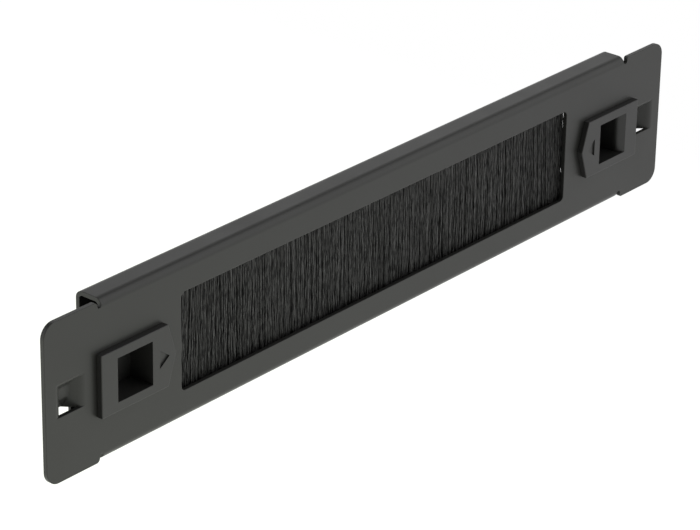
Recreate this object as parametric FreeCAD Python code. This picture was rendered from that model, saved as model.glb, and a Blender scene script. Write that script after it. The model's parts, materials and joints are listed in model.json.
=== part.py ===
import FreeCAD, Part
import math
import os

# Rack brush strip panel for a 10 inch rack, one unit high.
# All sizes are millimetres. X runs along the panel, Y from the front to the back, Z up.
# While the pieces are made, the front face of the sheet is Y = 0 and the panel's middle is X = 0.

Vector = FreeCAD.Vector

# The folded sheet.
PANEL_LENGTH = 254.0
PANEL_HEIGHT = 44.0
SHEET = 1.2
BEND_INSIDE = 1.0
EAR_CORNER = 4.0
LEFT_EAR_WIDTH = 19.8
RIGHT_EAR_WIDTH = 18.9
FLANGE_RISE = 0.3
FLANGE_DEPTH = 8.7
LIP_HEIGHT = 8.0
FOOT_DEPTH = 8.7
RELIEF_WIDTH = 1.4
LEFT_INNER_CORNER = 1.2
RIGHT_INNER_CORNER = 0.6

# The brush window. Its margins are measured from the two ends of the panel.
WINDOW_LEFT_MARGIN = 48.0
WINDOW_RIGHT_MARGIN = 45.8
WINDOW_BOTTOM = 8.2
WINDOW_HEIGHT = 27.7
WINDOW_CORNER = 1.5

# The lug that is pressed back out of each ear, to sit in a square hole of the rack. Its sizes are
# those of the hollow in the ear's front: its side walls slant in to a narrow flat back, which stands
# out furthest at the cut lower edge.
LUG_FROM_END = 8.6
LUG_WIDTH = 8.2
LUG_BACK_WIDTH = 3.2
LUG_TIP_WIDTH = 1.0
LUG_BOTTOM = 17.7
LUG_HEIGHT = 8.8
LUG_LOWER_RISE = 2.6
LUG_TOP_FALL = 2.2
LUG_DEPTH = 4.1
LUG_BACK_DEPTH = 2.6
LUG_TOP_DEPTH = 2.2
LUG_SIDE_RIM_ROUND = 2.4
LUG_TOP_RIM_ROUND = 1.1
LUG_BACK_ROUND = 1.5

# The two latches, both locked. Each slides towards the middle of the panel to let go of the rack.
LATCH_MIDDLE_Z = 21.45
LEFT_LATCH_FROM_END = 17.7
RIGHT_LATCH_FROM_END = 13.4
LATCH_TRAVEL = 4.4
SLIDE_GAP = 0.1
SLOT_GAP = 0.2

# The latch knob: a pentagon plate in front of the sheet, and a pocket body that passes through it.
KNOB_STRAIGHT = 23.8
KNOB_POINT = 2.8
KNOB_HEIGHT = 17.3
KNOB_PLATE = 1.7
KNOB_EDGE_ROUND = 0.25
POCKET_FROM_OUTER_END = 5.6
POCKET_WIDTH = 12.5
POCKET_HEIGHT = 12.2
POCKET_DEPTH = 8.0
POCKET_RAMP = 1.8
POCKET_RAMP_ROUND = 2.6
POCKET_WALL = 1.2
POCKET_FLOOR = 1.0
ARROW_FROM_POCKET = 2.5
ARROW_LENGTH = 3.5
ARROW_HEIGHT = 5.1
ARROW_DEPTH = 0.45

# The latch bolt: a frame behind the sheet, with two prongs that reach behind the rack's post,
# one above the lug and one below it.
BOLT_FIT_GAP = 0.1
BOLT_SIDE_WALL = 1.8
BOLT_BAND = 4.0
BOLT_THICKNESS = 4.2
PRONG_THICKNESS = 2.0
PRONG_TIP_FROM_END = 12.0
PRONG_SPREAD = 8.8
PRONG_LEAD = 1.2
PRONG_ROUND = 1.0
HOOK_WIDTH = 5.0
HOOK_RISE = 0.5
HOOK_LENGTH = 0.9

# The leaf springs, one in a groove of each band of the bolt.
LEAF_LENGTH = 12.0
LEAF_WIDTH = 2.4
LEAF_THICKNESS = 0.3
LEAF_GROOVE_DEPTH = 1.6
LEAF_END_GAP = 0.5

# The brush: a crimped steel channel with a core wire, and the filaments that hang from it.
BRUSH_OVERLAP = 1.2
CHANNEL_WIDTH = 5.2
CHANNEL_HEIGHT = 6.4
CHANNEL_STRIP = 0.6
CHANNEL_ROUND = 1.3
CHANNEL_CRIMP = 0.6
CORE_WIRE_RADIUS = 0.7
BRISTLE_TIP_Z = 4.0
BRISTLE_GAP = 0.05
TUFT_PITCH = 1.6
TUFT_ROUND = 0.3
TUFT_NOTCH_WIDTH = 0.7
TUFT_NOTCH_DEPTH = 1.0
TUFT_NOTCH_SPREAD = 0.6

# The clamp screws through the lip.
SCREW_COUNT = 3
SCREW_SPACING = 70.0
SCREW_RADIUS = 1.5
SCREW_HEAD_RADIUS = 2.8
SCREW_HEAD_HEIGHT = 1.8
SCREW_HEAD_ROUND = 0.6
SCREW_SOCKET_RADIUS = 1.25
SCREW_SOCKET_DEPTH = 1.1
SOCKET_SIDES = 6
SCREW_BELOW_TOP = 5.2

# Sizes that follow from the ones above.
HALF_LENGTH = PANEL_LENGTH / 2
FOLD_LEFT = LEFT_EAR_WIDTH - HALF_LENGTH
FOLD_RIGHT = HALF_LENGTH - RIGHT_EAR_WIDTH
FLANGE_TOP = PANEL_HEIGHT + FLANGE_RISE
BEND_OUTSIDE = BEND_INSIDE + SHEET
WINDOW_LEFT = WINDOW_LEFT_MARGIN - HALF_LENGTH
WINDOW_RIGHT = HALF_LENGTH - WINDOW_RIGHT_MARGIN
KNOB_FRONT = -SLIDE_GAP - KNOB_PLATE
BODY_OUTER = POCKET_FROM_OUTER_END + POCKET_RAMP - POCKET_WALL
BODY_INNER = POCKET_FROM_OUTER_END + POCKET_WIDTH + POCKET_WALL
BODY_HEIGHT = POCKET_HEIGHT + 2 * POCKET_WALL
POCKET_BACK = KNOB_FRONT + POCKET_DEPTH
BODY_BACK = POCKET_BACK + POCKET_FLOOR
BOLT_FRONT = SHEET + SLIDE_GAP
BOLT_BACK = BOLT_FRONT + BOLT_THICKNESS
BOLT_OUTER = BODY_OUTER - BOLT_FIT_GAP - BOLT_SIDE_WALL
BOLT_INNER = BODY_INNER + BOLT_FIT_GAP + BOLT_SIDE_WALL
BOLT_HEIGHT = BODY_HEIGHT + 2 * (BOLT_FIT_GAP + BOLT_BAND)
BRUSH_LEFT = WINDOW_LEFT - BRUSH_OVERLAP
BRUSH_LENGTH = WINDOW_RIGHT + BRUSH_OVERLAP - BRUSH_LEFT
CHANNEL_TOP = FLANGE_TOP - SHEET
CHANNEL_BOTTOM = CHANNEL_TOP - CHANNEL_HEIGHT
CHANNEL_BACK = SHEET + CHANNEL_WIDTH
CHANNEL_MIDDLE_Y = SHEET + CHANNEL_WIDTH / 2
CHANNEL_MOUTH = CHANNEL_WIDTH - 2 * (CHANNEL_STRIP + CHANNEL_CRIMP)
SCREW_TOP = FLANGE_DEPTH + SCREW_HEAD_HEIGHT


def box(x_low, x_high, y_low, y_high, z_low, z_high):
    """A block between two corners."""
    return Part.makeBox(x_high - x_low, y_high - y_low, z_high - z_low, Vector(x_low, y_low, z_low))


def rounded_wire(corners):
    """A closed wire through corners, each a point and the radius that rounds it."""
    count = len(corners)
    ends = []
    arcs = []
    for index in range(count):
        point, radius = corners[index]
        before = corners[index - 1][0]
        after = corners[(index + 1) % count][0]
        if radius == 0:
            ends.append((point, point))
            arcs.append(None)
            continue
        towards_before = (before - point).normalize()
        towards_after = (after - point).normalize()
        half_turn = towards_before.getAngle(towards_after) / 2
        setback = radius / math.tan(half_turn)
        start = point + towards_before * setback
        end = point + towards_after * setback
        inward = (towards_before + towards_after).normalize()
        centre = point + inward * (radius / math.sin(half_turn))
        ends.append((start, end))
        arcs.append(Part.Arc(start, centre - inward * radius, end).toShape())
    edges = []
    for index in range(count):
        if arcs[index]:
            edges.append(arcs[index])
        start = ends[index][1]
        end = ends[(index + 1) % count][0]
        if start.distanceToPoint(end) > 1e-6:
            edges.append(Part.makeLine(start, end))
    return Part.Wire(edges)


def prism(corners, direction):
    """A solid swept from a flat rounded outline."""
    return Part.Face(rounded_wire(corners)).extrude(direction)


def plate(x_low, x_high, z_low, z_high, corner, y_low, thickness):
    """A flat plate in the plane of the panel, with round corners."""
    outline = [
        (Vector(x_low, y_low, z_low), corner),
        (Vector(x_high, y_low, z_low), corner),
        (Vector(x_high, y_low, z_high), corner),
        (Vector(x_low, y_low, z_high), corner),
    ]
    return prism(outline, Vector(0, thickness, 0))


def folded_middle():
    """The part of the sheet between the ears: web, top flange with its lip, and foot flange."""
    inner_top = FLANGE_TOP - SHEET
    lip_bottom = FLANGE_TOP - LIP_HEIGHT
    lip_inside = FLANGE_DEPTH - SHEET
    x = FOLD_LEFT
    outline = [
        (Vector(x, FOOT_DEPTH, 0), 0),
        (Vector(x, 0, 0), BEND_OUTSIDE),
        (Vector(x, 0, FLANGE_TOP), BEND_OUTSIDE),
        (Vector(x, FLANGE_DEPTH, FLANGE_TOP), BEND_OUTSIDE),
        (Vector(x, FLANGE_DEPTH, lip_bottom), 0),
        (Vector(x, lip_inside, lip_bottom), 0),
        (Vector(x, lip_inside, inner_top), BEND_INSIDE),
        (Vector(x, SHEET, inner_top), BEND_INSIDE),
        (Vector(x, SHEET, SHEET), BEND_INSIDE),
        (Vector(x, FOOT_DEPTH, SHEET), 0),
    ]
    return prism(outline, Vector(FOLD_RIGHT - FOLD_LEFT, 0, 0))


def relief(side, z_edge, z_bend):
    """The slot between an ear and the end of a bend. It also rounds the corner of the ear beside it."""
    radius = RELIEF_WIDTH / 2
    near = FOLD_RIGHT if side > 0 else FOLD_LEFT
    corner = RIGHT_INNER_CORNER if side > 0 else LEFT_INNER_CORNER
    far = near + side * RELIEF_WIDTH
    on_ear = far + 2 * side * corner
    z_open = z_edge + math.copysign(corner, z_edge - z_bend)
    outline = [
        (Vector(near, 0, z_open), 0),
        (Vector(near, 0, z_bend), radius),
        (Vector(far, 0, z_bend), radius),
        (Vector(far, 0, z_edge), corner),
        (Vector(on_ear, 0, z_edge), 0),
        (Vector(on_ear, 0, z_open), 0),
    ]
    return prism(outline, Vector(0, SHEET, 0))


def flat_sheet():
    """The ears and web as one flat plate, cut back along the two bends."""
    sheet = plate(-HALF_LENGTH, HALF_LENGTH, 0, PANEL_HEIGHT, EAR_CORNER, 0, SHEET)
    for z_edge, z_bend in ((PANEL_HEIGHT, FLANGE_TOP - BEND_OUTSIDE), (0, BEND_OUTSIDE)):
        band = box(FOLD_LEFT, FOLD_RIGHT, 0, SHEET, min(z_edge, z_bend), max(z_edge, z_bend))
        sheet = sheet.cut(band)
        for side in (-1, 1):
            sheet = sheet.cut(relief(side, z_edge, z_bend))
    return sheet


def grown(corners, distance, axis):
    """An outline moved outwards by a distance. It runs anticlockwise about the axis."""
    moved = []
    for index, (point, radius) in enumerate(corners):
        before = corners[index - 1][0]
        after = corners[(index + 1) % len(corners)][0]
        first = (point - before).normalize().cross(axis)
        second = (after - point).normalize().cross(axis)
        bulges = first.cross(second).dot(axis) > 0
        if radius:
            radius = max(radius + distance if bulges else radius - distance, 0)
        moved.append((point + (first + second) * (distance / (1 + first.dot(second))), radius))
    return moved


def lug_from_above():
    """The hollow's outline across the ear, at its deepest: front face, slanted sides, narrow back."""
    front = LUG_WIDTH / 2
    back = LUG_BACK_WIDTH / 2
    tip = LUG_TIP_WIDTH / 2
    wing = front + 2 * LUG_SIDE_RIM_ROUND
    z = LUG_BOTTOM
    return [
        (Vector(-wing, -SHEET, z), 0),
        (Vector(wing, -SHEET, z), 0),
        (Vector(wing, 0, z), 0),
        (Vector(front, 0, z), LUG_SIDE_RIM_ROUND),
        (Vector(back, LUG_BACK_DEPTH, z), LUG_BACK_ROUND),
        (Vector(tip, LUG_DEPTH, z), 0),
        (Vector(-tip, LUG_DEPTH, z), 0),
        (Vector(-back, LUG_BACK_DEPTH, z), LUG_BACK_ROUND),
        (Vector(-front, 0, z), LUG_SIDE_RIM_ROUND),
        (Vector(-wing, 0, z), 0),
    ]


def lug_from_the_side():
    """The hollow's outline from the side: deep at the cut lower edge, and closing fast at its top."""
    x = -LUG_WIDTH / 2 - 2 * LUG_SIDE_RIM_ROUND
    top = LUG_BOTTOM + LUG_HEIGHT
    lower_slope = (LUG_DEPTH - LUG_BACK_DEPTH) / LUG_LOWER_RISE
    return [
        (Vector(x, -SHEET, LUG_BOTTOM - SHEET), 0),
        (Vector(x, LUG_DEPTH + lower_slope * SHEET, LUG_BOTTOM - SHEET), 0),
        (Vector(x, LUG_BACK_DEPTH, LUG_BOTTOM + LUG_LOWER_RISE), 2 * LUG_BACK_ROUND),
        (Vector(x, LUG_TOP_DEPTH, top - LUG_TOP_FALL), LUG_BACK_ROUND),
        (Vector(x, 0, top), LUG_TOP_RIM_ROUND),
        (Vector(x, 0, top + 2 * LUG_TOP_RIM_ROUND), 0),
        (Vector(x, -SHEET, top + 2 * LUG_TOP_RIM_ROUND), 0),
    ]


def lug_form(distance):
    """The lug's hollow, or with a distance, the hollow and as much sheet round it."""
    height = LUG_HEIGHT + 2 * LUG_TOP_RIM_ROUND + distance
    across = prism(grown(lug_from_above(), distance, Vector(0, 0, 1)), Vector(0, 0, height))
    width = LUG_WIDTH + 4 * LUG_SIDE_RIM_ROUND
    along = prism(grown(lug_from_the_side(), distance, Vector(1, 0, 0)), Vector(width, 0, 0))
    return across.common(along)


def with_lug(sheet, side):
    """Presses one lug back out of an ear."""
    place = Vector(side * (HALF_LENGTH - LUG_FROM_END), 0, 0)
    reach = LUG_DEPTH + SHEET
    behind = box(-LUG_WIDTH, LUG_WIDTH, 0, reach, LUG_BOTTOM, LUG_BOTTOM + LUG_HEIGHT + SHEET)
    hollow = lug_form(0)
    wall = lug_form(SHEET).common(behind)
    hollow.translate(place)
    wall.translate(place)
    return sheet.fuse(wall).cut(hollow)


def latch_slot(side, from_end):
    """The slot that a latch body slides in, long enough for its whole travel."""
    near = HALF_LENGTH - from_end - BODY_OUTER + SLOT_GAP
    far = HALF_LENGTH - from_end - LATCH_TRAVEL - BODY_INNER - SLOT_GAP
    half = BODY_HEIGHT / 2 + SLOT_GAP
    low, high = sorted((side * near, side * far))
    return box(low, high, 0, SHEET, LATCH_MIDDLE_Z - half, LATCH_MIDDLE_Z + half)


def screw_places():
    """The X of each clamp screw, evenly about the middle of the brush."""
    middle = BRUSH_LEFT + BRUSH_LENGTH / 2
    return [middle + (index - (SCREW_COUNT - 1) / 2) * SCREW_SPACING for index in range(SCREW_COUNT)]


def screw_hole(x):
    """A hole through the lip for one clamp screw."""
    start = Vector(x, FLANGE_DEPTH - SHEET, FLANGE_TOP - SCREW_BELOW_TOP)
    return Part.makeCylinder(SCREW_RADIUS, SHEET, start, Vector(0, 1, 0))


def front_panel():
    """The whole folded sheet."""
    panel = flat_sheet().fuse(folded_middle())
    window = plate(
        WINDOW_LEFT, WINDOW_RIGHT, WINDOW_BOTTOM, WINDOW_BOTTOM + WINDOW_HEIGHT, WINDOW_CORNER, 0, SHEET
    )
    panel = panel.cut(window)
    for side, from_end in ((-1, LEFT_LATCH_FROM_END), (1, RIGHT_LATCH_FROM_END)):
        panel = with_lug(panel, side)
        panel = panel.cut(latch_slot(side, from_end))
    for x in screw_places():
        panel = panel.cut(screw_hole(x))
    return panel.removeSplitter()


def knob_plate():
    """The pentagon plate, with its front edge slightly rounded."""
    half = KNOB_HEIGHT / 2
    outline = [
        (Vector(0, -SLIDE_GAP, -half), 0),
        (Vector(KNOB_STRAIGHT, -SLIDE_GAP, -half), 0),
        (Vector(KNOB_STRAIGHT + KNOB_POINT, -SLIDE_GAP, 0), 0),
        (Vector(KNOB_STRAIGHT, -SLIDE_GAP, half), 0),
        (Vector(0, -SLIDE_GAP, half), 0),
    ]
    blank = prism(outline, Vector(0, -KNOB_PLATE, 0))
    front_edges = [edge for edge in blank.Edges if edge.BoundBox.YMax < KNOB_FRONT + KNOB_EDGE_ROUND]
    return blank.makeFillet(KNOB_EDGE_ROUND, front_edges)


def finger_pocket():
    """The hollow of the pocket: square at the arrow side, with a ramp at the outer side."""
    outer = POCKET_FROM_OUTER_END
    inner = outer + POCKET_WIDTH
    ramp_end = KNOB_FRONT + POCKET_RAMP
    z = -POCKET_HEIGHT / 2
    outline = [
        (Vector(outer, KNOB_FRONT, z), 0),
        (Vector(inner, KNOB_FRONT, z), 0),
        (Vector(inner, POCKET_BACK, z), 0),
        (Vector(outer + POCKET_RAMP, POCKET_BACK, z), 0),
        (Vector(outer + POCKET_RAMP, ramp_end, z), POCKET_RAMP_ROUND),
    ]
    return prism(outline, Vector(0, 0, POCKET_HEIGHT))


def arrow_recess():
    """The shallow triangle in the knob's face that points to the middle of the panel."""
    base = POCKET_FROM_OUTER_END + POCKET_WIDTH + ARROW_FROM_POCKET
    half = ARROW_HEIGHT / 2
    outline = [
        (Vector(base, KNOB_FRONT, -half), 0),
        (Vector(base + ARROW_LENGTH, KNOB_FRONT, 0), 0),
        (Vector(base, KNOB_FRONT, half), 0),
    ]
    return prism(outline, Vector(0, ARROW_DEPTH, 0))


def snap_hook(up):
    """A wedge on the pocket body that holds the bolt on from behind; up is 1 or -1."""
    middle = (BODY_OUTER + BODY_INNER) / 2
    x = middle - HOOK_WIDTH / 2
    root = up * BODY_HEIGHT / 2
    rise = up * (BODY_HEIGHT / 2 + BOLT_FIT_GAP + HOOK_RISE)
    inside = up * (BODY_HEIGHT / 2 - POCKET_WALL / 2)
    outline = [
        (Vector(x, BOLT_BACK, inside), 0),
        (Vector(x, BOLT_BACK, rise), 0),
        (Vector(x, BOLT_BACK + HOOK_LENGTH, root), 0),
        (Vector(x, BOLT_BACK + HOOK_LENGTH, inside), 0),
    ]
    return prism(outline, Vector(HOOK_WIDTH, 0, 0))


def latch_knob():
    """Plate, pocket body and hooks, as one moulding. X = 0 is the knob's outer end."""
    half = BODY_HEIGHT / 2
    body = box(BODY_OUTER, BODY_INNER, -SLIDE_GAP, BODY_BACK, -half, half)
    knob = knob_plate().fuse(body)
    for up in (-1, 1):
        knob = knob.fuse(snap_hook(up))
    return knob.cut(finger_pocket()).cut(arrow_recess()).removeSplitter()


def leaf_middle(up):
    """The height of a leaf spring's middle line above the latch's middle."""
    return up * (BODY_HEIGHT / 2 + BOLT_FIT_GAP + BOLT_BAND / 2)


def leaf_groove(up):
    """The groove in the front of the bolt that keeps one leaf spring."""
    middle = (BOLT_OUTER + BOLT_INNER) / 2
    half = LEAF_LENGTH / 2 + LEAF_END_GAP
    z = leaf_middle(up)
    rise = LEAF_WIDTH / 2 + BOLT_FIT_GAP
    return box(middle - half, middle + half, BOLT_FRONT, BOLT_FRONT + LEAF_GROOVE_DEPTH, z - rise, z + rise)


def leaf_spring(up):
    """A bowed strip: its ends lie on the groove's floor and its crown reaches to the sheet."""
    middle = (BOLT_OUTER + BOLT_INNER) / 2
    half = LEAF_LENGTH / 2
    floor = BOLT_FRONT + LEAF_GROOVE_DEPTH
    crown = BOLT_FRONT
    z = leaf_middle(up) - LEAF_WIDTH / 2
    back = Part.Arc(
        Vector(middle - half, floor, z),
        Vector(middle, crown + LEAF_THICKNESS, z),
        Vector(middle + half, floor, z),
    ).toShape()
    front = Part.Arc(
        Vector(middle + half, floor - LEAF_THICKNESS, z),
        Vector(middle, crown, z),
        Vector(middle - half, floor - LEAF_THICKNESS, z),
    ).toShape()
    ends = [
        Part.makeLine(Vector(middle + half, floor, z), Vector(middle + half, floor - LEAF_THICKNESS, z)),
        Part.makeLine(Vector(middle - half, floor - LEAF_THICKNESS, z), Vector(middle - half, floor, z)),
    ]
    outline = Part.Wire([back, ends[0], front, ends[1]])
    return Part.Face(outline).extrude(Vector(0, 0, LEAF_WIDTH))


def prong(up, reach):
    """One prong of the bolt, slanted at its tip so that the rack's post pushes it aside."""
    tip = BOLT_OUTER - reach
    front = BOLT_BACK - PRONG_THICKNESS
    inner = PRONG_SPREAD / 2
    outer = BOLT_HEIGHT / 2
    low, high = sorted((up * inner, up * outer))
    profile = [
        (Vector(BOLT_OUTER, front, low), 0),
        (Vector(tip, front, low), 0),
        (Vector(tip, BOLT_BACK - PRONG_LEAD, low), 0),
        (Vector(tip + PRONG_LEAD, BOLT_BACK, low), 0),
        (Vector(BOLT_OUTER, BOLT_BACK, low), 0),
    ]
    blade = prism(profile, Vector(0, 0, high - low))
    outline = [
        (Vector(BOLT_OUTER, front, low), 0),
        (Vector(tip, front, low), PRONG_ROUND),
        (Vector(tip, front, high), PRONG_ROUND),
        (Vector(BOLT_OUTER, front, high), 0),
    ]
    return blade.common(prism(outline, Vector(0, PRONG_THICKNESS, 0)))


def latch_bolt(from_end):
    """The frame round the pocket body, and its two prongs. X = 0 is the knob's outer end."""
    half = BOLT_HEIGHT / 2
    bolt = box(BOLT_OUTER, BOLT_INNER, BOLT_FRONT, BOLT_BACK, -half, half)
    for up in (-1, 1):
        bolt = bolt.fuse(prong(up, BOLT_OUTER + from_end - PRONG_TIP_FROM_END))
        bolt = bolt.cut(leaf_groove(up))
    hole_half = BODY_HEIGHT / 2 + BOLT_FIT_GAP
    hole_left = BODY_OUTER - BOLT_FIT_GAP
    hole_right = BODY_INNER + BOLT_FIT_GAP
    bolt = bolt.cut(box(hole_left, hole_right, BOLT_FRONT, BOLT_BACK, -hole_half, hole_half))
    return bolt.removeSplitter()


def brush_channel():
    """The crimped steel channel, open below, with its mouth pinched on the filaments."""
    back = CHANNEL_BACK
    front = SHEET
    x = BRUSH_LEFT
    inner_round = CHANNEL_ROUND - CHANNEL_STRIP
    pinch_z = CHANNEL_BOTTOM + 2 * CHANNEL_CRIMP
    mouth_front = CHANNEL_MIDDLE_Y - CHANNEL_MOUTH / 2
    mouth_back = CHANNEL_MIDDLE_Y + CHANNEL_MOUTH / 2
    inner_top = CHANNEL_TOP - CHANNEL_STRIP
    outline = [
        (Vector(x, front, pinch_z), 0),
        (Vector(x, front, CHANNEL_TOP), CHANNEL_ROUND),
        (Vector(x, back, CHANNEL_TOP), CHANNEL_ROUND),
        (Vector(x, back, pinch_z), 0),
        (Vector(x, mouth_back + CHANNEL_STRIP, CHANNEL_BOTTOM), 0),
        (Vector(x, mouth_back, CHANNEL_BOTTOM), 0),
        (Vector(x, back - CHANNEL_STRIP, pinch_z), 0),
        (Vector(x, back - CHANNEL_STRIP, inner_top), inner_round),
        (Vector(x, front + CHANNEL_STRIP, inner_top), inner_round),
        (Vector(x, front + CHANNEL_STRIP, pinch_z), 0),
        (Vector(x, mouth_front, CHANNEL_BOTTOM), 0),
        (Vector(x, mouth_front - CHANNEL_STRIP, CHANNEL_BOTTOM), 0),
    ]
    return prism(outline, Vector(BRUSH_LENGTH, 0, 0))


def core_wire_z():
    """The height of the core wire, which the folded filaments wrap over."""
    return CHANNEL_TOP - CHANNEL_STRIP - CHANNEL_HEIGHT / 2


def brush_core_wire():
    """The straight wire that the filaments are folded over."""
    start = Vector(BRUSH_LEFT, CHANNEL_MIDDLE_Y, core_wire_z())
    return Part.makeCylinder(CORE_WIRE_RADIUS, BRUSH_LENGTH, start, Vector(1, 0, 0))


def tuft_outline(half_depth, z):
    """The curtain from above: a row of round tufts, front and back."""
    count = int(round(BRUSH_LENGTH / TUFT_PITCH))
    pitch = BRUSH_LENGTH / count
    edges = []
    for side in (-1, 1):
        y_valley = CHANNEL_MIDDLE_Y + side * (half_depth - TUFT_ROUND)
        y_crest = CHANNEL_MIDDLE_Y + side * half_depth
        for index in range(count):
            x = BRUSH_LEFT + index * pitch
            start = Vector(x, y_valley, z)
            crest = Vector(x + pitch / 2, y_crest, z)
            end = Vector(x + pitch, y_valley, z)
            edges.append(Part.makeLine(start, crest))
            edges.append(Part.makeLine(crest, end))
    y_front = CHANNEL_MIDDLE_Y - half_depth + TUFT_ROUND
    y_back = CHANNEL_MIDDLE_Y + half_depth - TUFT_ROUND
    for x in (BRUSH_LEFT, BRUSH_LEFT + BRUSH_LENGTH):
        edges.append(Part.makeLine(Vector(x, y_front, z), Vector(x, y_back, z)))
    return Part.Wire(Part.__sortEdges__(edges))


def tip_notches():
    """Wedges between the tufts' free ends, of uneven depth."""
    count = int(round(BRUSH_LENGTH / TUFT_PITCH))
    pitch = BRUSH_LENGTH / count
    notches = []
    for index in range(1, count):
        x = BRUSH_LEFT + index * pitch
        depth = TUFT_NOTCH_DEPTH + TUFT_NOTCH_SPREAD * math.sin(index * math.e)
        outline = [
            (Vector(x - TUFT_NOTCH_WIDTH / 2, SHEET, BRISTLE_TIP_Z), 0),
            (Vector(x + TUFT_NOTCH_WIDTH / 2, SHEET, BRISTLE_TIP_Z), 0),
            (Vector(x, SHEET, BRISTLE_TIP_Z + depth), 0),
        ]
        notches.append(prism(outline, Vector(0, CHANNEL_WIDTH, 0)))
    return Part.makeCompound(notches)


def bristle_curtain():
    """The filaments as one curtain of tufts, folded over the core wire inside the channel."""
    half_mouth = CHANNEL_MOUTH / 2 - BRISTLE_GAP
    top = CHANNEL_TOP - CHANNEL_STRIP - BRISTLE_GAP
    outline = tuft_outline(half_mouth, BRISTLE_TIP_Z)
    curtain = Part.Face(outline).extrude(Vector(0, 0, top - BRISTLE_TIP_Z))
    bore_start = Vector(BRUSH_LEFT, CHANNEL_MIDDLE_Y, core_wire_z())
    bore = Part.makeCylinder(CORE_WIRE_RADIUS + BRISTLE_GAP, BRUSH_LENGTH, bore_start, Vector(1, 0, 0))
    return curtain.cut(bore).cut(tip_notches())


def clamp_screw(x):
    """One screw: its end presses on the channel, its head lies on the lip."""
    z = FLANGE_TOP - SCREW_BELOW_TOP
    along = Vector(0, 1, 0)
    shank_length = FLANGE_DEPTH - CHANNEL_BACK
    shank = Part.makeCylinder(SCREW_RADIUS, shank_length, Vector(x, CHANNEL_BACK, z), along)
    head = Part.makeCylinder(SCREW_HEAD_RADIUS, SCREW_HEAD_HEIGHT, Vector(x, FLANGE_DEPTH, z), along)
    rim = [edge for edge in head.Edges if edge.BoundBox.YMin > FLANGE_DEPTH + SCREW_HEAD_HEIGHT / 2]
    head = head.makeFillet(SCREW_HEAD_ROUND, rim)
    centre = Vector(x, SCREW_TOP - SCREW_SOCKET_DEPTH, z)
    corners = []
    for index in range(SOCKET_SIDES):
        turn = 2 * math.pi * index / SOCKET_SIDES
        spoke = Vector(math.cos(turn), 0, math.sin(turn))
        corners.append((centre + spoke * SCREW_SOCKET_RADIUS, 0))
    socket = prism(corners, along * SCREW_SOCKET_DEPTH)
    return shank.fuse(head).cut(socket).removeSplitter()


def on_panel(shape, side, from_end):
    """Moves a latch piece from the knob's frame to its place on the panel, mirrored on the right."""
    placed = shape.copy()
    placed.translate(Vector(from_end - HALF_LENGTH, 0, LATCH_MIDDLE_Z))
    if side > 0:
        placed = placed.mirror(Vector(0, 0, 0), Vector(1, 0, 0))
    return placed


def pieces():
    """Every piece by its name."""
    made = {
        "front_panel": front_panel(),
        "brush_channel": brush_channel(),
        "brush_core_wire": brush_core_wire(),
        "bristle_curtain": bristle_curtain(),
    }
    for index, x in enumerate(screw_places()):
        made[f"clamp_screw_{index + 1}"] = clamp_screw(x)
    for name, side, from_end in (("left", -1, LEFT_LATCH_FROM_END), ("right", 1, RIGHT_LATCH_FROM_END)):
        made[f"{name}_latch_knob"] = on_panel(latch_knob(), side, from_end)
        made[f"{name}_latch_bolt"] = on_panel(latch_bolt(from_end), side, from_end)
        made[f"{name}_latch_upper_spring"] = on_panel(leaf_spring(1), side, from_end)
        made[f"{name}_latch_lower_spring"] = on_panel(leaf_spring(-1), side, from_end)
    return made


def save(made):
    """Centres the panel's depth on Y = 0 and writes one file for each piece."""
    os.makedirs("parts", exist_ok=True)
    to_middle = Vector(0, -(KNOB_FRONT + SCREW_TOP) / 2, 0)
    for name, shape in made.items():
        shape.translate(to_middle)
        shape.exportStep(f"parts/{name}.step")
        print(f"{name}: volume {shape.Volume:.1f} mm3, solids {len(shape.Solids)}, valid {shape.isValid()}")


save(pieces())
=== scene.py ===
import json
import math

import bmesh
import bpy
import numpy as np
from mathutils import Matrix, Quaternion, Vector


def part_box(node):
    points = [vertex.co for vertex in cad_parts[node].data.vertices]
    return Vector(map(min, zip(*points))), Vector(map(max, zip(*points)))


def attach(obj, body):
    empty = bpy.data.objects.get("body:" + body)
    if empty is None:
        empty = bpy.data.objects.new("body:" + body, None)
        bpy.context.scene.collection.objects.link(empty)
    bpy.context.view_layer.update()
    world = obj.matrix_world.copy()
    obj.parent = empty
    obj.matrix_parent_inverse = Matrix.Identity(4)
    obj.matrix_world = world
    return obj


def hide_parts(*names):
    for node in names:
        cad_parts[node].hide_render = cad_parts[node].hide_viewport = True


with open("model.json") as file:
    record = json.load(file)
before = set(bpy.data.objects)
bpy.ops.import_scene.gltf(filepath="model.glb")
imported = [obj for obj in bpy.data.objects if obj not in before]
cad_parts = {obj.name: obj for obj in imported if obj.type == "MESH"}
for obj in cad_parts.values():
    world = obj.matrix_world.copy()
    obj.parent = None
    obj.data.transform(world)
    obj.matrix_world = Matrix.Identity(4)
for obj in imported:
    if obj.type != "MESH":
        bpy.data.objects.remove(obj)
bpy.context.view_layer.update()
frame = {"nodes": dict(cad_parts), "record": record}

# %% [markdown]
# # A brush panel for a small rack
# The object is a folded steel panel with a curtain of bristles in its window and a sliding latch at
# each end. The CAD model gives every rigid piece its exact shape and place, so this script only adds
# what CAD is poor at: thousands of separate filaments, the finishes, the light and the camera.
# Blender works in metres here. The real sizes are easier to read in millimetres, so they are
# written that way and multiplied once.

MM = 0.001

# %% [markdown]
# Colours are picked as sRGB hex values, as on any screen, but a shader adds up light, so one function
# turns them to linear values first.


# %% Colour
def colour(hex_value):
    """Linear RGBA from an sRGB hex value."""
    channels = [int(hex_value[place:place + 2], 16) / 255 for place in (1, 3, 5)]
    linear = [c / 12.92 if c <= 0.04045 else ((c + 0.055) / 1.055) ** 2.4 for c in channels]
    return (*linear, 1.0)


print("a mid grey, #808080, is only", round(colour("#808080")[0], 3), "of full light")

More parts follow.
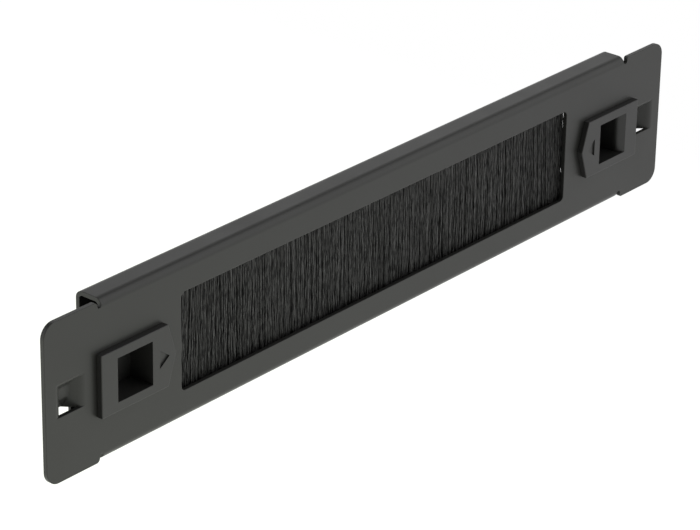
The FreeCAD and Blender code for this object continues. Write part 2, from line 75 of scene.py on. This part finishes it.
# %% [markdown]
# A finish is a graph of nodes. One function gives a node its inputs and one adds a node of any kind with
# its settings, so each finish below reads from its patterns down to its shader. An input that isn't
# named keeps Blender's default.


# %% Nodes
def set_inputs(node, inputs):
    """Gives each input a value, or links it to the output of another node."""
    for name, value in inputs.items():
        if isinstance(value, bpy.types.NodeSocket):
            node.id_data.links.new(value, node.inputs[name])
        else:
            node.inputs[name].default_value = value


def add_node(owner, kind, inputs=None, **settings):
    """Adds a node to a material or to the world. Its kind is Blender's name without ShaderNode."""
    node = owner.node_tree.nodes.new("ShaderNode" + kind)
    for name, value in settings.items():
        setattr(node, name, value)
    set_inputs(node, inputs or {})
    return node


def new_material(name):
    """A material with only a Principled shader and its output."""
    material = bpy.data.materials.new(name)
    material.use_nodes = True
    material.node_tree.nodes.clear()
    shader = add_node(material, "BsdfPrincipled")
    add_node(material, "OutputMaterial", {"Surface": shader.outputs["BSDF"]})
    return material, shader


def set_tones(ramp, tones):
    """Gives a colour ramp its two ends."""
    for stop, hex_value in zip(ramp.color_ramp.elements, tones):
        stop.color = colour(hex_value)


# %% [markdown]
# **Powder-coated steel.** The sheet is coated with a black polyester powder that melts into a film
# about 0.08 mm thick. Such a film is a dielectric with an IOR near 1.5, and 1.43 matches this one. It
# mirrors its surroundings weakly, and that satin sheen is what makes black steel look dark grey. The
# melted grains leave a faint orange peel, a relief a few microns deep with a pitch of 0.7 mm. The film
# thins at cut edges and rounds them, so a Bevel node rounds the shading there and leaves the mesh alone.
#
# Tone and gloss drift a little over a centimetre or so, and noise gives that drift. Noise mostly lies
# between 0.3 and 0.7, so a Map Range node stretches that part to the span that an input needs. Object
# coordinates keep every pattern in place on a piece that slides.

# %% Powder coat
NOISE_SPAN = {"From Min": 0.3, "From Max": 0.7}
EDGE_SAMPLES = 6
COAT_DRIFT_MM = 14.0
COAT_DETAIL = 3.0
COAT_TONES = ("#232422", "#272725")
COAT_ROUGHNESS = {"To Min": 0.36, "To Max": 0.42}
COAT_IOR = 1.43
COAT_EDGE_MM = 0.3
PEEL_MM = 0.7
PEEL_DEPTH_MM = 0.006
powder_coat, shader = new_material("satin_black_powder_coat")
place = add_node(powder_coat, "TexCoord").outputs["Object"]
drift = add_node(
    powder_coat, "TexNoise", {"Vector": place, "Scale": 1 / (COAT_DRIFT_MM * MM), "Detail": COAT_DETAIL}
)
tone = add_node(powder_coat, "ValToRGB", {"Fac": drift.outputs["Fac"]})
set_tones(tone, COAT_TONES)
gloss = add_node(powder_coat, "MapRange", {"Value": drift.outputs["Fac"], **NOISE_SPAN, **COAT_ROUGHNESS})
peel = add_node(powder_coat, "TexNoise", {"Vector": place, "Scale": 1 / (PEEL_MM * MM)})
edge = add_node(powder_coat, "Bevel", {"Radius": COAT_EDGE_MM * MM}, samples=EDGE_SAMPLES)
relief = add_node(powder_coat, "Bump", {
    "Height": peel.outputs["Fac"],
    "Distance": PEEL_DEPTH_MM * MM,
    "Normal": edge.outputs["Normal"],
})
set_inputs(shader, {
    "Base Color": tone.outputs["Color"],
    "Roughness": gloss.outputs["Result"],
    "IOR": COAT_IOR,
    "Normal": relief.outputs["Normal"],
})
print("made", powder_coat.name)

# %% [markdown]
# **Moulded plastic.** The latches are black ABS, or a glass-filled nylon that looks the same. The
# steel mould was spark eroded, which leaves a fine even grain, so the plastic is a little more matt
# than the coat and its highlights are broader. The grain of the real part is near 0.1 mm, and it is
# drawn at 0.25 mm so that it shows. The melt's flow leaves a faint drift of tone. ABS has an IOR of
# about 1.54, and 1.48 matches these latches.

# %% Moulded plastic
FLOW_MM = 9.0
PLASTIC_TONES = ("#20201f", "#242423")
PLASTIC_ROUGHNESS = {"To Min": 0.38, "To Max": 0.44}
PLASTIC_IOR = 1.48
GRAIN_MM = 0.25
GRAIN_DETAIL = 3.0
GRAIN_ROUGHNESS = 0.6
GRAIN_DEPTH_MM = 0.004
MOULD_EDGE_MM = 0.12
moulded_plastic, shader = new_material("spark_grained_black_abs")
place = add_node(moulded_plastic, "TexCoord").outputs["Object"]
flow = add_node(moulded_plastic, "TexNoise", {"Vector": place, "Scale": 1 / (FLOW_MM * MM)})
tone = add_node(moulded_plastic, "ValToRGB", {"Fac": flow.outputs["Fac"]})
set_tones(tone, PLASTIC_TONES)
gloss = add_node(
    moulded_plastic, "MapRange", {"Value": flow.outputs["Fac"], **NOISE_SPAN, **PLASTIC_ROUGHNESS}
)
grain = add_node(moulded_plastic, "TexNoise", {
    "Vector": place,
    "Scale": 1 / (GRAIN_MM * MM),
    "Detail": GRAIN_DETAIL,
    "Roughness": GRAIN_ROUGHNESS,
})
edge = add_node(moulded_plastic, "Bevel", {"Radius": MOULD_EDGE_MM * MM}, samples=EDGE_SAMPLES)
relief = add_node(moulded_plastic, "Bump", {
    "Height": grain.outputs["Fac"],
    "Distance": GRAIN_DEPTH_MM * MM,
    "Normal": edge.outputs["Normal"],
})
set_inputs(shader, {
    "Base Color": tone.outputs["Color"],
    "Roughness": gloss.outputs["Result"],
    "IOR": PLASTIC_IOR,
    "Normal": relief.outputs["Normal"],
})
print("made", moulded_plastic.name)

# %% [markdown]
# ** Nylon filament.** Brush filament is drawn nylon, black right through, and crimped into a fine wave
# so that the brush closes well. A crimped strand turns towards the light and away again every few
# millimetres and glints there. Those glints are painted into the colour as short light streaks, from a
# noise that runs down each strand. Each strand carries its own number in an attribute. The number moves
# the strand to its own place in that noise, so neighbours hardly ever have their painted glints side by
# side. It also makes some strands lighter as a whole. A light strand is a little smoother than a dark one.

# %% Nylon filament
GLINT_SPACING_MM = 3.2
STRANDS_APART = 900
OWN_TONE_SHARE = 0.5
PAINTED_GLINT_TONE = {"To Min": -0.8, "To Max": 1.7}
PAINTED_GLINT_DETAIL = 1.0
# The ramp's ends span the strands' own tone and the painted glints.
NYLON_AND_GLINT_TONES = ("#030303", "#373736")
NYLON_ROUGHNESS = {"To Min": 0.66, "To Max": 0.46}
NYLON_IOR = 1.5
filament_nylon, shader = new_material("black_nylon_filament_painted_glints")
place = add_node(filament_nylon, "TexCoord").outputs["Object"]
height = add_node(filament_nylon, "SeparateXYZ", {"Vector": place}).outputs["Z"]
strand_number = add_node(filament_nylon, "Attribute", attribute_name="strand_number").outputs["Fac"]
own_start = add_node(filament_nylon, "Math", {0: strand_number, 1: STRANDS_APART}, operation="MULTIPLY")
own_place = add_node(
    filament_nylon,
    "Math",
    {0: height, 1: 1 / (GLINT_SPACING_MM * MM), 2: own_start.outputs["Value"]},
    operation="MULTIPLY_ADD",
)
glint_noise = add_node(
    filament_nylon,
    "TexNoise",
    {"W": own_place.outputs["Value"], "Scale": 1.0, "Detail": PAINTED_GLINT_DETAIL},
    noise_dimensions="1D",
)
# Painted glints: the noise down each strand becomes light streaks in the base colour, standing in for the
# crimp's glints.
painted_glints = add_node(filament_nylon, "MapRange", {"Value": glint_noise.outputs["Fac"], **NOISE_SPAN, **PAINTED_GLINT_TONE})
tone_and_painted_glints = add_node(
    filament_nylon,
    "Math",
    {0: strand_number, 1: OWN_TONE_SHARE, 2: painted_glints.outputs["Result"]},
    operation="MULTIPLY_ADD",
).outputs["Value"]
# The ramp paints each strand's own tone and its painted glints into the base colour.
tone = add_node(filament_nylon, "ValToRGB", {"Fac": tone_and_painted_glints})
set_tones(tone, NYLON_AND_GLINT_TONES)
gloss = add_node(filament_nylon, "MapRange", {"Value": tone_and_painted_glints, **NOISE_SPAN, **NYLON_ROUGHNESS})
set_inputs(shader, {
    "Base Color": tone.outputs["Color"],
    "Roughness": gloss.outputs["Result"],
    "IOR": NYLON_IOR,
})
print("made", filament_nylon.name)

# %% [markdown]
# **Zinc-plated steel.** The brush's channel and wire and the clamp screws are rolled or cold headed,
# then bright zinc plated. Zinc has a cool grey colour and a fine grain that runs the way the strip
# was rolled, here along the panel, so a Mapping node stretches the noise twenty times in that
# direction.

# %% Zinc plate
ROLLED_GRAIN_MM = 0.3
ROLLED_STRETCH = (0.05, 1, 1)
ROLLED_DETAIL = 4.0
ROLLED_DEPTH_MM = 0.002
ZINC_TONES = ("#b4b8bc", "#c9ccd0")
ZINC_ROUGHNESS = {"To Min": 0.28, "To Max": 0.40}
ZINC_EDGE_MM = 0.1
zinc_plate, shader = new_material("bright_zinc_plated_steel")
place = add_node(zinc_plate, "TexCoord").outputs["Object"]
stretched = add_node(zinc_plate, "Mapping", {"Vector": place, "Scale": ROLLED_STRETCH})
rolled = add_node(zinc_plate, "TexNoise", {
    "Vector": stretched.outputs["Vector"],
    "Scale": 1 / (ROLLED_GRAIN_MM * MM),
    "Detail": ROLLED_DETAIL,
})
tone = add_node(zinc_plate, "ValToRGB", {"Fac": rolled.outputs["Fac"]})
set_tones(tone, ZINC_TONES)
gloss = add_node(zinc_plate, "MapRange", {"Value": rolled.outputs["Fac"], **NOISE_SPAN, **ZINC_ROUGHNESS})
edge = add_node(zinc_plate, "Bevel", {"Radius": ZINC_EDGE_MM * MM}, samples=EDGE_SAMPLES)
relief = add_node(zinc_plate, "Bump", {
    "Height": rolled.outputs["Fac"],
    "Distance": ROLLED_DEPTH_MM * MM,
    "Normal": edge.outputs["Normal"],
})
set_inputs(shader, {
    "Base Color": tone.outputs["Color"],
    "Roughness": gloss.outputs["Result"],
    "Metallic": 1.0,
    "Normal": relief.outputs["Normal"],
})
print("made", zinc_plate.name)

# %% [markdown]
# **Spring steel.** The leaf springs are blued by their heat treatment. The oxide is so thin that it
# tints the metal, from dark straw to blue grey, and leaves it smooth.

# %% Blued spring steel
OXIDE_MM = 3.0
OXIDE_TONES = ("#4a4e57", "#6a6660")
OXIDE_ROUGHNESS = {"To Min": 0.25, "To Max": 0.35}
blued_steel, shader = new_material("blued_spring_steel")
place = add_node(blued_steel, "TexCoord").outputs["Object"]
oxide = add_node(blued_steel, "TexNoise", {"Vector": place, "Scale": 1 / (OXIDE_MM * MM)})
tone = add_node(blued_steel, "ValToRGB", {"Fac": oxide.outputs["Fac"]})
set_tones(tone, OXIDE_TONES)
gloss = add_node(blued_steel, "MapRange", {"Value": oxide.outputs["Fac"], **NOISE_SPAN, **OXIDE_ROUGHNESS})
set_inputs(shader, {
    "Base Color": tone.outputs["Color"],
    "Roughness": gloss.outputs["Result"],
    "Metallic": 1.0,
})
print("made", blued_steel.name)

# %% [markdown]
# The record names the material slot of every CAD node, so one table from slot to finish dresses them
# all. The solid of the bristle curtain gets its finish too, although filaments replace it below.

# %% Dress the CAD pieces
FINISH_OF_SLOT = {
    "powder_coated_steel": powder_coat,
    "latch_plastic": moulded_plastic,
    "nylon_filament": filament_nylon,
    "zinc_plated_steel": zinc_plate,
    "spring_steel": blued_steel,
}
for part in frame["record"]["subparts"]:
    mesh = frame["nodes"][part["node"]].data
    mesh.materials.clear()
    mesh.materials.append(FINISH_OF_SLOT[part["material_slot"]])
print("dressed", len(frame["nodes"]), "CAD nodes")

# %% [markdown]
# **One bristle.** A real strip holds thousands of nylon filaments about 0.2 mm thick. A triangle whose
# corners lie 0.12 mm from its middle is about that thick from every side. Extruded downwards in short
# steps, it is enough: at this size nobody can tell a triangle from a round, and there will be
# thousands of copies. The steps let each strand bend.

# %% One bristle
LOW_CORNER, HIGH_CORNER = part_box("bristle_curtain")
GAP_ABOVE = 0.2 * MM
STRAND_TOP = HIGH_CORNER.z - GAP_ABOVE
STRAND_LENGTH = STRAND_TOP - LOW_CORNER.z
STRAND_RADIUS = 0.12 * MM
STRAND_SIDES = 3
STRAND_STEPS = 12


def one_strand():
    """A straight strand that hangs from the origin."""
    form = bmesh.new()
    bmesh.ops.create_circle(form, cap_ends=False, segments=STRAND_SIDES, radius=STRAND_RADIUS)
    ring = form.edges[:]
    for _ in range(STRAND_STEPS):
        made = bmesh.ops.extrude_edge_only(form, edges=ring)["geom"]
        ring = [item for item in made if isinstance(item, bmesh.types.BMEdge)
                and all(vertex in made for vertex in item.verts)]
        corners = [item for item in made if isinstance(item, bmesh.types.BMVert)]
        bmesh.ops.translate(form, verts=corners, vec=(0, 0, -STRAND_LENGTH / STRAND_STEPS))
    bmesh.ops.contextual_create(form, geom=ring)
    bmesh.ops.recalc_face_normals(form, faces=form.faces)
    mesh = bpy.data.meshes.new("one_strand")
    form.to_mesh(mesh)
    form.free()
    return mesh


strand_mesh = one_strand()
print("one strand:", len(strand_mesh.vertices), "points,", len(strand_mesh.polygons), "faces")

# %% [markdown]
# **Rows of strands.** The curtain is made as two layers of four rows, so that neither mesh grows too
# heavy. An Array modifier sets the strands in a row, and a second one sets the rows one behind the
# other in the mouth of the channel. Applied, they give one mesh in which every strand has the same
# number of points in the same order, so the points can be reshaped all at once.

# %% Rows of strands
STRAND_PITCH = 0.32 * MM
ROW_COUNT = 8
ROWS_IN_LAYER = 4
ROW_INSET = 1.5 * STRAND_RADIUS
row_length = HIGH_CORNER.x - LOW_CORNER.x - 2 * STRAND_RADIUS
strands_in_row = int(row_length / STRAND_PITCH)
strands_in_layer = strands_in_row * ROWS_IN_LAYER
row_step = (HIGH_CORNER.y - LOW_CORNER.y - 2 * ROW_INSET) / (ROW_COUNT - 1)


def straight_layer(name):
    """Some rows of straight strands, as one object."""
    layer = bpy.data.objects.new(name, strand_mesh)
    bpy.context.scene.collection.objects.link(layer)
    for title, count, offset in (
        ("row", strands_in_row, (row_length / strands_in_row, 0, 0)),
        ("depth", ROWS_IN_LAYER, (0, row_step, 0)),
    ):
        array = layer.modifiers.new(title, "ARRAY")
        array.count = count
        array.use_relative_offset = False
        array.use_constant_offset = True
        array.constant_offset_displace = offset
    bpy.context.view_layer.update()
    shown = layer.evaluated_get(bpy.context.evaluated_depsgraph_get())
    layer.data = bpy.data.meshes.new_from_object(shown)
    layer.modifiers.clear()
    return layer


print(strands_in_row, "strands in each of", ROW_COUNT, "rows")

# %% [markdown]
# Straight strands would look like a comb. Real ones are set a little unevenly, are crimped along their
# length, and cross their neighbours, more so towards their free ends. Each strand gets its own lean, its
# own bow and its own crimp, seeded so that every run gives the same brush. The strands further back are
# straighter and thicker, so that no light comes through.

# %% Ways in which the strands differ
CRIMP_TURNS = (2.4, 5.0)
random_source = np.random.default_rng(27)
along = (np.arange(strands_in_layer) % strands_in_row / strands_in_row)[:, None]


def uneven(low, high):
    """One number for each strand of a layer."""
    return random_source.uniform(low, high, (strands_in_layer, 1))


def crimp(low, high, down):
    """A small wave down each strand, with its own size, pitch and start."""
    turns = uneven(*CRIMP_TURNS)
    start = uneven(0, 2 * math.pi)
    return uneven(low, high) * np.sin(2 * math.pi * turns * down + start) * np.sqrt(down)


# %% [markdown]
# The curtain also opens out below the channel that grips it: the front rows come forward until they
# nearly touch the back of the sheet, and the last strands at each end splay outwards. All of these
# shifts are in millimetres, sideways or inwards. Most of them grow from nothing at the grip, down the
# strand. Only the small uneven setting and the stagger from row to row are there from the start.

# %% Sizes of the bends
UNEVEN_MM = 0.1
ROW_STAGGER = 0.382
LEAN_MM = 1.1
LEAN_POWER = 1.3
LESS_LEAN_AT_ENDS = 0.6
BOW_MM = 0.35
SIDEWAYS_CRIMP_MM = (0.14, 0.3)
INWARDS_CRIMP_MM = (0.02, 0.08)
INWARDS_LEAN_MM = (-0.1, 0.2)
SPLAY_MM = 3.6
SPLAY_POWER = 7
HELD_SHARE = 0.1
FORWARD_MM = 0.75
OPENED_AT = 0.2
STRAIGHTER_BEHIND = 0.85
LESS_CRIMP_BEHIND = 0.5
THICKER_BEHIND = 0.75
SHORTER_SHARE = 0.016
print("strands lean up to", LEAN_MM, "mm and bow up to", BOW_MM, "mm")

# %% [markdown]
# The points of a layer are read into an array with one line for each strand, moved, and written back.
# How far down its strand a point lies is 0 at the top and 1 at the tip, and how far behind the front a
# row stands is 0 for the first row and 1 for the last. Both scale the shifts.


# %% Bend the strands
def bend(mesh, first_row):
    """Moves the points of one layer, whose front row is first_row."""
    points = np.empty(len(mesh.vertices) * 3)
    mesh.vertices.foreach_get("co", points)
    points = points.reshape(strands_in_layer, -1, 3)
    down = -points[:, :, 2] / STRAND_LENGTH
    row = first_row + (np.arange(strands_in_layer) // strands_in_row)[:, None]
    behind_front = row / (ROW_COUNT - 1)
    loose = 1 - STRAIGHTER_BEHIND * behind_front
    near_end = (2 * along - 1) ** SPLAY_POWER
    lean = uneven(-LEAN_MM, LEAN_MM) * loose * (1 - LESS_LEAN_AT_ENDS * np.abs(near_end))
    sideways = (
        row * ROW_STAGGER % 1 * STRAND_PITCH / MM
        + uneven(-UNEVEN_MM, UNEVEN_MM)
        + lean * down ** LEAN_POWER
        + uneven(-BOW_MM, BOW_MM) * loose * np.sin(math.pi * down)
        + crimp(*SIDEWAYS_CRIMP_MM, down) * (1 - LESS_CRIMP_BEHIND * behind_front)
        + SPLAY_MM * near_end * np.clip(down - HELD_SHARE, 0, None)
    )
    inwards = (
        uneven(-UNEVEN_MM, UNEVEN_MM)
        + uneven(*INWARDS_LEAN_MM) * down
        + crimp(*INWARDS_CRIMP_MM, down)
        - FORWARD_MM * (1 - behind_front) * (1 - np.exp(-down / OPENED_AT))
    )
    axis = points[:, :, :2].mean(axis=1, keepdims=True)
    points[:, :, :2] += (points[:, :, :2] - axis) * THICKER_BEHIND * behind_front[:, :, None]
    points[:, :, 0] += LOW_CORNER.x + STRAND_RADIUS + sideways * MM
    points[:, :, 1] += LOW_CORNER.y + ROW_INSET + first_row * row_step + inwards * MM
    points[:, :, 2] = STRAND_TOP + points[:, :, 2] * (1 - uneven(0.0, SHORTER_SHARE))
    mesh.vertices.foreach_set("co", points.ravel())
    print("sideways up to", round(float(np.abs(sideways).max()), 2), "mm")


# %% [markdown]
# The number that sets each strand apart is written to its points. Each layer then rides on the panel's
# body, and together the two stand for the CAD solid of the curtain.

# %% Make the two layers
for name, first_row in (("front_bristles", 0), ("back_bristles", ROWS_IN_LAYER)):
    layer = straight_layer(name)
    mesh = layer.data
    bend(mesh, first_row)
    points_in_strand = len(mesh.vertices) // strands_in_layer
    numbers = np.repeat(uneven(0, 1)[:, 0], points_in_strand).astype(np.float32)
    mesh.attributes.new("strand_number", "FLOAT", "POINT").data.foreach_set("value", numbers)
    mesh.polygons.foreach_set("use_smooth", [True] * len(mesh.polygons))
    mesh.materials.clear()
    mesh.materials.append(filament_nylon)
    mesh.update()
    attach(layer, "panel")
    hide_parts("bristle_curtain")
    print(name, sum(len(face.vertices) - 2 for face in mesh.polygons), "triangles")

# %% [markdown]
# **Camera.** The photograph was taken from the front left and above, from far away with a long lens,
# so that parallel edges stay almost parallel. The place and direction below come from fitting a
# camera to the panel's known length and height.

# %% Camera
CAMERA_PLACE = Vector((-616.34, -508.08, 391.19)) * MM
CAMERA_LOOK = Vector((0.69408, 0.57995, -0.42650))
CAMERA_ROLL = math.radians(-1.01)
CAMERA_LENS_MM = 168.48
CAMERA_SENSOR_MM = 36.0
camera = bpy.data.objects.new("camera", bpy.data.cameras.new("camera"))
bpy.context.scene.collection.objects.link(camera)
camera.data.lens = CAMERA_LENS_MM
camera.data.sensor_width = CAMERA_SENSOR_MM
camera.location = CAMERA_PLACE
camera.rotation_mode = "QUATERNION"
camera.rotation_quaternion = Quaternion(CAMERA_LOOK, CAMERA_ROLL) @ CAMERA_LOOK.to_track_quat("-Z", "Y")
bpy.context.scene.camera = camera
bpy.context.view_layer.update()
print("camera right:", [round(value, 4) for value in camera.matrix_world.to_3x3().col[0]])

# %% [markdown]
# **Floor.** Black things are often photographed on a light table, a sheet of white acrylic lit from
# below. It does two jobs here: it is the pure white ground of the picture, and it is what the black
# front face mirrors, because the camera looks down on it. Its light is a little stronger and a trace
# greener on the left, to match the tones of the face in the photograph. A shadow can't form on a
# surface that shines by itself, and the photograph has none.

# %% Light table
TABLE_SIZE = 6.0
TABLE_LEFT_TO_RIGHT = {"From Min": -0.15, "From Max": 0.15}
TABLE_GLOW = {"To Min": 1.24, "To Max": 1.0}
TABLE_TONES = ("#fcfff6", "#ffffff")
TABLE_ROUGHNESS = 0.9
table_acrylic, shader = new_material("white_light_table")
place = add_node(table_acrylic, "TexCoord").outputs["Object"]
across = add_node(table_acrylic, "SeparateXYZ", {"Vector": place}).outputs["X"]
from_left = add_node(table_acrylic, "MapRange", {"Value": across, **TABLE_LEFT_TO_RIGHT}).outputs["Result"]
glow = add_node(table_acrylic, "MapRange", {"Value": from_left, **TABLE_GLOW})
tone = add_node(table_acrylic, "ValToRGB", {"Fac": from_left})
set_tones(tone, TABLE_TONES)
set_inputs(shader, {
    "Base Color": colour("#000000"),
    "Roughness": TABLE_ROUGHNESS,
    "Specular IOR Level": 0.0,
    "Emission Color": tone.outputs["Color"],
    "Emission Strength": glow.outputs["Result"],
})
form = bmesh.new()
bmesh.ops.create_grid(form, x_segments=1, y_segments=1, size=TABLE_SIZE / 2)
table_mesh = bpy.data.meshes.new("light_table")
form.to_mesh(table_mesh)
form.free()
table_mesh.materials.append(table_acrylic)
light_table = bpy.data.objects.new("light_table", table_mesh)
bpy.context.scene.collection.objects.link(light_table)
print("made a light table", TABLE_SIZE, "m wide")

# %% [markdown]
# **Room.** Black shows little but what it mirrors, so the room matters more than the lamps. It is dim
# for the most part, which keeps the pockets and the upper sides of the latches dark. Three soft glows
# stand for white screens: a large one in front on the right, which the bend of the top flange mirrors,
# a weaker one behind the panel's right end, which the flange's top mirrors, and one behind its left end,
# which only lights the back. How near a direction is to a screen's middle is their dot product, which
# is the cosine of the angle between them.

# %% Room
ROOM_DIM = 0.12
SCREENS = (
    # The direction of the screen's middle, how far it reaches in degrees, full and faded, and its light.
    (Vector((0.54, -0.66, 0.54)), 21, 47, 1.43),
    (Vector((0.75, 0.66, 0.25)), 14, 50, 0.76),
    (Vector((-0.75, 0.62, 0.25)), 20, 50, 1.0),
)
world = bpy.data.worlds.new("photo_room")
bpy.context.scene.world = world
world.use_nodes = True
world.node_tree.nodes.clear()
direction = add_node(world, "TexCoord").outputs["Generated"]
room_light = ROOM_DIM
for middle, full, faded, light in SCREENS:
    nearness = add_node(world, "VectorMath", {0: direction, 1: middle.normalized()}, operation="DOT_PRODUCT")
    reach = {
        "Value": nearness.outputs["Value"],
        "From Min": math.cos(math.radians(faded)),
        "From Max": math.cos(math.radians(full)),
        "To Max": light,
    }
    glow = add_node(world, "MapRange", reach, interpolation_type="SMOOTHSTEP")
    room_light = add_node(world, "Math", {0: glow.outputs["Result"], 1: room_light}).outputs["Value"]
background = add_node(world, "Background", {"Color": colour("#ffffff"), "Strength": room_light})
add_node(world, "OutputWorld", {"Surface": background.outputs["Background"]})
print("made a room with", len(SCREENS), "screens")

# %% [markdown]
# **Lamp.** One large soft box overhead on the left adds a little shape. No flat face in view mirrors it.

# %% Soft box
BOX_PLACE = Vector((-0.9, 0.2, 1.4))
BOX_SIZE = 1.0
BOX_POWER = 0.8
soft_box = bpy.data.lights.new("soft_box", "AREA")
soft_box.shape = "SQUARE"
soft_box.size = BOX_SIZE
soft_box.energy = BOX_POWER
lamp = bpy.data.objects.new("soft_box", soft_box)
lamp.location = BOX_PLACE
lamp.rotation_mode = "QUATERNION"
lamp.rotation_quaternion = (-BOX_PLACE).to_track_quat("-Z", "Y")
bpy.context.scene.collection.objects.link(lamp)
print("soft box", round(BOX_PLACE.length, 2), "m away")

# %% [markdown]
# The photograph shows plain screen colours, so the picture is shown with the standard transform and
# not with a film-like one, which would lift the blacks.

# %% View and close
bpy.context.scene.view_settings.view_transform = "Standard"
